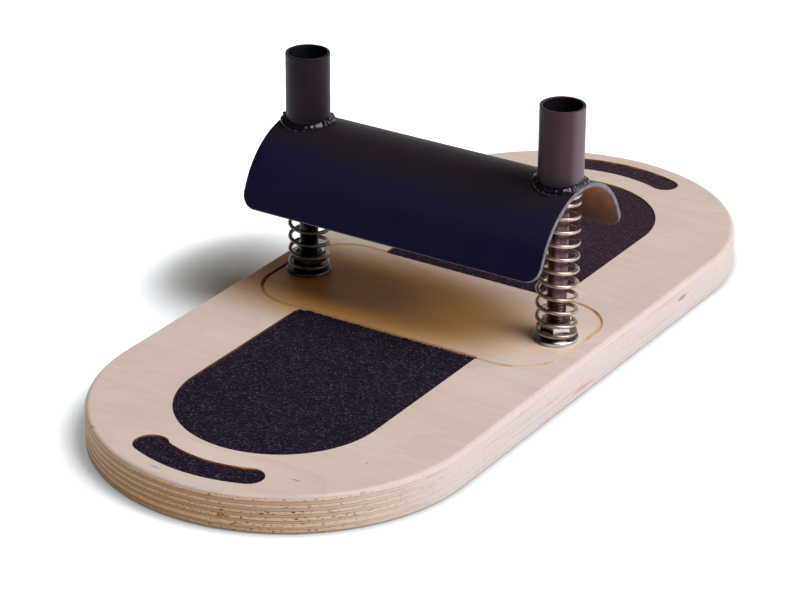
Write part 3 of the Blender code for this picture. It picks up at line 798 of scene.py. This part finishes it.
tube_low, tube_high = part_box("right_guide_tube")
tube_radius = (tube_high.x - tube_low.x) / 2
tube_wall = 0.00145
tube_steps = 96
touch = 0.0003
rim_easing = 0.0004
sides = ((-1, "left"), (1, "right"))
for side, where in sides:
    node = where + "_guide_tube"
    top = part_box(node)[1].z
    centre = post_at(side)
    rim = [(tube_radius - inset, top - down) for down, inset in rounding(rim_easing, easing_steps)]
    rim += [(2 * tube_radius - tube_wall - radius, z) for radius, z in reversed(rim)]
    rings = [circle(radius, z, centre, tube_steps) for radius, z in rim]
    feet = []
    for radius in (tube_radius, tube_radius - tube_wall):
        feet.append([polar(radius, a, on_crown(radius, a, touch)) + centre for a in turn(tube_steps)])
    rings = [feet[0]] + rings + [feet[1]]
    tube = skin(where + "_steel_tube", rings, closed=True, finishes=(tube_finishes[where], dull_bore))
    for face in tube.data.polygons:
        if face.index >= (len(rings) - 2) * tube_steps:
            face.material_index = 1
    settle(tube, "saddle", "black_paint", node)

# The welds: a fillet weld round the foot of each tube, laid in short overlapping runs that stand up
# as scallops.

# The same paint over the weld: the smooth metal makes it glossy, with ripples of 2.4 mm.
glossy, add, shader = new_finish("glossy black paint over a weld")
here = add("TexCoord").outputs["Object"]
ripple = add("TexNoise", {"Vector": here, "Scale": 420, "Detail": 2})
ripple_relief = add("Bump", {"Height": ripple, "Strength": 0.5, "Distance": 0.0006})
feed(shader, {"Base Color": "#0D0918", "Roughness": 0.22, "Normal": ripple_relief,
              "Specular IOR Level": 0.5, "Specular Tint": "#F0D8F0"})

weld_leg = 0.0022
weld_beads = 24
bead_steps = 12
weld_steps = weld_beads * bead_steps
slope_steps = 8
ridge_height = 0.0009
ridge_fade = 2.4
lean_back = 0.45
hollow = 1.6
end_margin = 0.0004
sheet_end = arch_half - post_x - end_margin
root = tube_radius + touch
draw = random.Random(5)
for side, where in sides:
    marks = sorted(draw.uniform(-0.25, 0.25) + bead for bead in range(weld_beads))
    sizes = [draw.uniform(0.5, 1.0) for bead in range(weld_beads)]
    rings = []
    for step in range(weld_steps):
        turned = step / bead_steps
        angle = 2 * math.pi * step / weld_steps
        ring = []
        for part in range(slope_steps + 1):
            slope = math.pi / 2 * part / slope_steps
            lean = turned - lean_back * math.sin(2 * slope)
            bead = max(range(weld_beads), key=lambda one: -((lean - marks[one]) % weld_beads))
            since = (lean - marks[bead]) % weld_beads
            ridge = ridge_height * sizes[bead] * math.exp(-ridge_fade * since) * math.sin(2 * slope)
            leg = weld_leg * (0.94 + 0.18 * sizes[bead])
            facing_end = side * math.cos(angle)
            room = sheet_end / facing_end - tube_radius - touch if facing_end > 0.5 else leg
            out = min(leg, room) * math.cos(slope) ** hollow + ridge
            up = leg * math.sin(slope) ** hollow + ridge
            ring.append(polar(root + out, angle, on_crown(root + out, angle, touch) + up) + post_at(side))
        ring.append(polar(root, angle, on_crown(root, angle, touch)) + post_at(side))
        rings.append(ring)
    weld = skin(where + "_weld", rings, closed=True, sharp=70, finishes=(glossy,))
    settle(weld, "saddle", "black_paint", where + "_weld_bead")

# The springs: hard-drawn steel wire, 2 mm thick, wound left-handed in eleven and a half turns, the end
# turns closed. Each sits on its washer round the nut and carries the saddle.


def with_painted_shade_at_left(add, here, colour, dark, least):
    """A metal's colour with painted shade: mostly lost in a dark tone at the left post, which stands in the
    saddle's shade, and full at the right one.
    """
    axes = add("SeparateXYZ", {0: here})
    lit_share = add("MapRange", {0: axes.outputs[0], 1: -0.03, 2: 0.03, 3: least, 4: 1})
    return add("Mix", {"Factor": lit_share, "A": dark, "B": colour}, data_type="RGBA")


# Spring wire: bare metal that mirrors the room, a little uneven from the drawing in patches of 4.5 mm.
# The left spring stands in the saddle's shade, so it is browner and darker.
spring_steel, add, shader = new_finish("bright hard-drawn spring wire")
here = add("TexCoord").outputs["Object"]
drawn = add("TexNoise", {"Vector": here, "Scale": 220, "Detail": 3})
steel = add("ValToRGB", {"Fac": drawn}, stops=[(0.3, "#85756B"), (0.5, "#A69489"), (0.7, "#BDADA2")])
steel = with_painted_shade_at_left(add, here, steel, "#453B38", 0.3)
polish = add("MapRange", {0: drawn, 1: 0.3, 2: 0.7, 3: 0.28, 4: 0.38})
feed(shader, {"Base Color": steel, "Metallic": 1, "Roughness": polish})

wire_radius = 0.001015
wire_steps = 16
coil_radius = 0.0095711
coil_steps = 36
spring_turns = 11.5
end_turns = 0.85
end_gap = 0.0006
end_pitch = 2 * wire_radius + end_gap
tip_angle = math.radians(129.5)
for side, where in sides:
    node = where + "_spring"
    low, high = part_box(node)
    height = high.z - low.z - 2 * wire_radius
    pitch = (height - 2 * end_turns * end_pitch) / (spring_turns - 2 * end_turns)
    rings = []
    steps = round(spring_turns * coil_steps)
    for step in range(steps + 1):
        turned = spring_turns * step / steps
        closed_low = min(turned, end_turns)
        closed_high = max(turned - (spring_turns - end_turns), 0)
        z = low.z + wire_radius + (closed_low + closed_high) * end_pitch
        z += (turned - closed_low - closed_high) * pitch
        angle = tip_angle - 2 * math.pi * turned
        outward = polar(1, angle)
        girth = 2 * math.pi * coil_radius
        beside = outward.cross(Vector((outward.y * girth, -outward.x * girth, pitch)).normalized())
        middle = outward * coil_radius + post_at(side, z)
        spokes = [outward * math.cos(a) + beside * math.sin(a) for a in turn(wire_steps)]
        rings.append([middle + spoke * wire_radius for spoke in spokes])
    spring = skin(where + "_coil", rings, sharp=50, finishes=(spring_steel,))
    settle(spring, "base", "spring_steel", node)
    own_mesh(spring)

# The bolts: long 3/8 inch hexagon bolts, head up inside the tubes, with a rolled thread on their lower
# part, 16 turns to the inch. A nut clamps each to the board, above and below.

# Zinc plate: a pale grey metal with a blue cast, in clouds of 8 mm. A painted reflection of a dark room
# makes the sides that face left nearly black, and painted shade darkens it all over at the left post.
zinc, add, shader = new_finish("bright zinc plate on steel")
spot = add("TexCoord")
here = spot.outputs["Object"]
bloom = add("TexNoise", {"Vector": here, "Scale": 120, "Detail": 3})
plate = add("ValToRGB", {"Fac": bloom}, stops=[(0.35, "#D0D0D8"), (0.5, "#E0E0E6"), (0.66, "#E8E4DE")])
plate = with_painted_shade_at_left(add, here, plate, "#2C2E38", 0.2)
facing = add("SeparateXYZ", {0: spot.outputs["Normal"]})
# Painted reflection: the sides that face left mirror a dark room.
painted_dark_room_reflection = add("MapRange", {0: facing.outputs[0], 1: -0.3, 2: 0.35, 3: 0.9, 4: 0}, **smooth)
plate = add("Mix", {"Factor": painted_dark_room_reflection, "A": plate, "B": "#23222E"}, data_type="RGBA")
dull = add("MapRange", {0: bloom, 1: 0.3, 2: 0.7, 3: 0.18, 4: 0.28})
feed(shader, {"Base Color": plate, "Metallic": 1, "Roughness": dull})

# The bolt's shank: the same plate, rubbed by the saddle in streaks 2.5 mm wide and 25 mm long and dulled by
# grease, so that it is browner and darker than the nuts, with painted shade that darkens it further at the
# left post.
shank_steel, add, shader = new_finish("rubbed zinc plate with a film of grease")
here = add("TexCoord").outputs["Object"]
rub = add("Mapping", {"Vector": here, "Scale": (400, 400, 40)})
rub = add("TexNoise", {"Vector": rub, "Scale": 1, "Detail": 3})
greased = add("ValToRGB", {"Fac": rub}, stops=[(0.3, "#48343A"), (0.5, "#5E464C"), (0.7, "#765D60")])
greased = with_painted_shade_at_left(add, here, greased, "#1A1519", 0.12)
feed(shader, {"Base Color": greased, "Metallic": 1, "Roughness": 0.34})

bolt_radius = 0.0047625
shank_steps = 48
thread_pitch = 0.0254 / 16
thread_depth = 0.00088
thread_top = 0.0418
thread_fade = 0.002
tip_taper = 0.001
tip_share = 0.8
flank = 1.35
flat_crest = 0.15
rings_to_thread = 10
head_height = 0.0062
cap_bore = 0.0002
flats = 0.0143
hex_steps = 96
sharpness = 70
chamfer = 0.95 * flats / 2
chamfer_slope = math.tan(math.radians(30))


def hexagon(angle):
    """The reach of a hexagon's side at an angle, its corners a little worn."""
    total = sum(abs(math.cos(angle + math.pi * third / 3)) ** sharpness for third in range(3))
    return flats / 2 / total ** (1 / sharpness)


def hex_rings(low, high, lower, upper, bore, centre, twist=0.0):
    """A hexagon's rings from bore to bore, with its corners cut by a cone below and above where asked."""
    rings = [circle(bore, low, centre, hex_steps)]
    rings.append([polar(chamfer, a + twist, low) + centre for a in turn(hex_steps)])
    for z, sign, used in ((low, 1, lower), (high, -1, upper)):
        ring = []
        for a in turn(hex_steps):
            reach = hexagon(a)
            rise = sign * used * max(reach - chamfer, 0) * chamfer_slope
            ring.append(polar(reach, a + twist, z + rise) + centre)
        rings.append(ring)
    rings.append([polar(chamfer, a + twist, high) + centre for a in turn(hex_steps)])
    rings.append(circle(bore, high, centre, hex_steps))
    return rings


for side, where in sides:
    node = where + "_bolt"
    low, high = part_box(node)
    centre = post_at(side)
    head = high.z - head_height
    rings = [circle(bolt_radius * tip_share, low.z, centre, shank_steps)]
    steps = int((thread_top - low.z) / (thread_pitch / rings_to_thread))
    for step in range(1, steps + 1):
        z = low.z + (thread_top - low.z) * step / steps
        fade = min(1, (thread_top - z) / thread_fade, (z - low.z) / tip_taper)
        ring = []
        for a in turn(shank_steps):
            phase = (z / thread_pitch - a / (2 * math.pi)) % 1
            groove_share = min(max(abs(phase - 0.5) * 2 * flank - flat_crest, 0), 1)
            ring.append(polar(bolt_radius - thread_depth * fade * groove_share, a, z) + centre)
        rings.append(ring)
    rings.append(circle(bolt_radius, head, centre, shank_steps))
    bolt = skin(where + "_long_bolt", rings, sharp=40, finishes=(shank_steel, zinc))
    settle(bolt, "base", "zinc_plated_steel", node)
    rings = hex_rings(head, high.z, 0, 1, cap_bore, centre)
    cap = skin(where + "_bolt_head", rings, sharp=25, finishes=(zinc,))
    settle(cap, "base", "zinc_plated_steel")

# The nuts: plain hexagon nuts, zinc plated. The upper one clamps the bolt to the board and centres the
# spring, and the thin one below sits in its counterbore.
thread_clearance = 0.0001
nut_twists = (("base", math.radians(21)), ("bottom", 0.0))
for side, where in sides:
    for kind, twist in nut_twists:
        node = f"{where}_{kind}_nut"
        low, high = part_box(node)
        rings = hex_rings(low.z, high.z, 1, 1, bolt_radius + thread_clearance, post_at(side), twist)
        nut = skin(f"{where}_{kind}_hexagon_nut", rings, closed=True, sharp=25, finishes=(zinc,))
        settle(nut, "base", "zinc_plated_steel", node)

# The washers: stamped steel, zinc plated, with one edge rounded by the punch. Below each spring, under
# each bolt's head and under each nut in the counterbore.
bolt_clearance = 0.0004
washer_bore = bolt_radius + bolt_clearance
washer_steps = 80
round_over = 0.0004
burr = 0.0001
for side, where in sides:
    for kind in ("base", "head", "bottom"):
        node = f"{where}_{kind}_washer"
        low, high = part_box(node)
        radius = (high.x - low.x) / 2
        outline = [(washer_bore, low.z), (radius - burr, low.z), (radius, low.z + burr)]
        outline += [(radius - inset, high.z - down) for down, inset in rounding(round_over, easing_steps)]
        outline.append((washer_bore, high.z))
        rings = [circle(reach, z, post_at(side), washer_steps) for reach, z in outline]
        washer = skin(f"{where}_{kind}_flat_washer", rings, closed=True, sharp=30, finishes=(zinc,))
        settle(washer, "base", "zinc_plated_steel", node)

# The floor: a pale paper sweep. What looks at it or mirrors it sees it glow to plain white, apart from a
# band close round the board and a patch to the left of the saddle, where the shade is left dark. In that
# patch the saddle's shadow, and round the board's foot a contact shadow, are painted darker into the paper.
paper, add, shader = new_finish("pale paper")
here = add("TexCoord").outputs["Object"]
axes = add("SeparateXYZ", {0: here})
reach = add("Math", {0: axes.outputs[1]}, operation="ABSOLUTE")
reach = add("Math", {0: reach, 1: half_length - half_width}, operation="SUBTRACT")
reach = add("Math", {0: reach, 1: 0}, operation="MAXIMUM")
away = add("CombineXYZ", {0: axes.outputs[0], 1: reach})
away = add("VectorMath", {0: away}, operation="LENGTH").outputs["Value"]
narrow = half_width + 0.043
wide = half_width + 0.072
reach = add("MapRange", {0: axes.outputs[1], 1: -0.16, 2: -0.06, 3: narrow, 4: wide})
clear = add("MapRange", {0: away, 1: half_width, 2: reach, 3: 0.42, 4: 1}, **smooth)
shade = share_away(add, here, (-0.131, 0.014, 0), (1, 1.5, 1))
glowing = add("MapRange", {0: shade, 1: 0.020, 2: 0.054, 3: 0, 4: 1}, **smooth)
clear = add("Math", {0: clear, 1: glowing}, operation="MULTIPLY")
clear = add("Math", {0: clear, 1: 0.7}, operation="MULTIPLY")
# Painted shadow of the saddle in the paper's colour, and a painted contact shadow round the board.
lit = add("MapRange", {0: shade, 1: 0.004, 2: 0.038, 3: 0, 4: 1}, **smooth)
painted_contact_shadow = add("MapRange", {0: away, 1: half_width - 0.003, 2: half_width + 0.006, 3: 0, 4: 1})
sheet = add("Mix", {"Factor": lit, "A": "#BABCBE", "B": "#F0F6FA"}, data_type="RGBA")
sheet = add("Mix", {"Factor": painted_contact_shadow, "A": "#6E685E", "B": sheet}, data_type="RGBA")
seen = add("LightPath")
watched = add("Math", {0: seen.outputs["Is Camera Ray"], 1: seen.outputs["Is Glossy Ray"]},
              operation="MAXIMUM")
watched = add("Math", {0: watched, 1: seen.outputs["Is Transmission Ray"]}, operation="MAXIMUM")
glow = add("Math", {0: clear, 1: watched}, operation="MULTIPLY")
feed(shader, {"Base Color": sheet, "Roughness": 1, "Specular IOR Level": 0,
              "Emission Color": "#EFF7FF", "Emission Strength": glow})
size = 4
below = -0.0001
corners = [(-size, -size, below), (size, -size, below), (size, size, below), (-size, size, below)]
floor = piece_of("floor", corners, [(0, 1, 2, 3)], finishes=(paper,))

# The light: a large soft key lamp to the right, about fifty degrees up, a lower soft box on the same
# side, and a weak warm fill all round. The metal mirrors a white backdrop behind and a dim card to the
# right in a dark room, and the camera sees plain white.
lamp = bpy.data.lights.new("key", "SUN")
lamp.energy = 3.25
lamp.angle = math.radians(44)
key = bpy.data.objects.new("key", lamp)
key.rotation_euler = Vector((1, 0.08, 1.32)).to_track_quat("Z", "Y").to_euler()
bpy.context.scene.collection.objects.link(key)

lamp = bpy.data.lights.new("side", "AREA")
lamp.energy = 0.85
lamp.shape = "RECTANGLE"
lamp.size = 0.4
lamp.size_y = 0.4
side_box = bpy.data.objects.new("side", lamp)
side_box.location = (0.68, 0.08, 0.30)
side_box.rotation_euler = Vector((0.6, 0.05, 0.2)).to_track_quat("Z", "Y").to_euler()
bpy.context.scene.collection.objects.link(side_box)

world = bpy.data.worlds.new("studio")
world.use_nodes = True
add = partial(add_node, world.node_tree)
seen = add("LightPath")
around = add("TexCoord").outputs["Generated"]
way = add("SeparateXYZ", {0: around})
behind = add("MapRange", {0: way.outputs[1], 1: -0.2, 2: 0.5, 3: 0, 4: 1}, **smooth)
near_floor = add("MapRange", {0: way.outputs[2], 1: 0.14, 2: 0.46, 3: 1, 4: 0}, **smooth)
backdrop = add("Math", {0: behind, 1: near_floor}, operation="MULTIPLY")
dark_room = (0.06, 0.055, 0.055, 1)
warm_fill = (0.147, 0.121, 0.088, 1)
mirrored = add("Mix", {"Factor": backdrop, "A": dark_room, "B": "#FFFFFF"}, data_type="RGBA")
card = add("VectorMath", {0: around, 1: (0.9, 0.42, 0.1)}, operation="DOT_PRODUCT")
card = add("MapRange", {0: card.outputs["Value"], 1: 0.72, 2: 0.94, 3: 0, 4: 0.6}, **smooth)
mirrored = add("Mix", {"Factor": card, "A": mirrored, "B": "#FFFFFF"}, data_type="RGBA")
in_mirror = add("Math", {0: seen.outputs["Is Glossy Ray"], 1: seen.outputs["Is Transmission Ray"]},
                operation="MAXIMUM")
sky = add("Mix", {"Factor": in_mirror, "A": warm_fill, "B": mirrored}, data_type="RGBA")
sky = add("Mix", {"Factor": seen.outputs["Is Camera Ray"], "A": sky, "B": "#FFFFFF"}, data_type="RGBA")
feed(world.node_tree.nodes["Background"], {"Color": sky, "Strength": 1})
bpy.context.scene.world = world
bpy.context.scene.view_settings.view_transform = "Standard"

# The camera: low and to the right of the board's near end, with a long lens. Its place, its axes and
# its lens were fitted to the edges of the board, pads and tubes.
place = Vector((0.72237, -1.17170, 0.67355))
right = Vector((0.84391, 0.53645, 0.00640))
up = Vector((-0.23488, 0.35872, 0.90341))
back = right.cross(up)
lens = bpy.data.cameras.new("camera")
lens.sensor_width = 36
lens.lens = 137.86
camera = bpy.data.objects.new("camera", lens)
camera.matrix_world = Matrix((right, up, back)).transposed().to_4x4()
camera.location = place
bpy.context.scene.collection.objects.link(camera)
bpy.context.scene.camera = camera
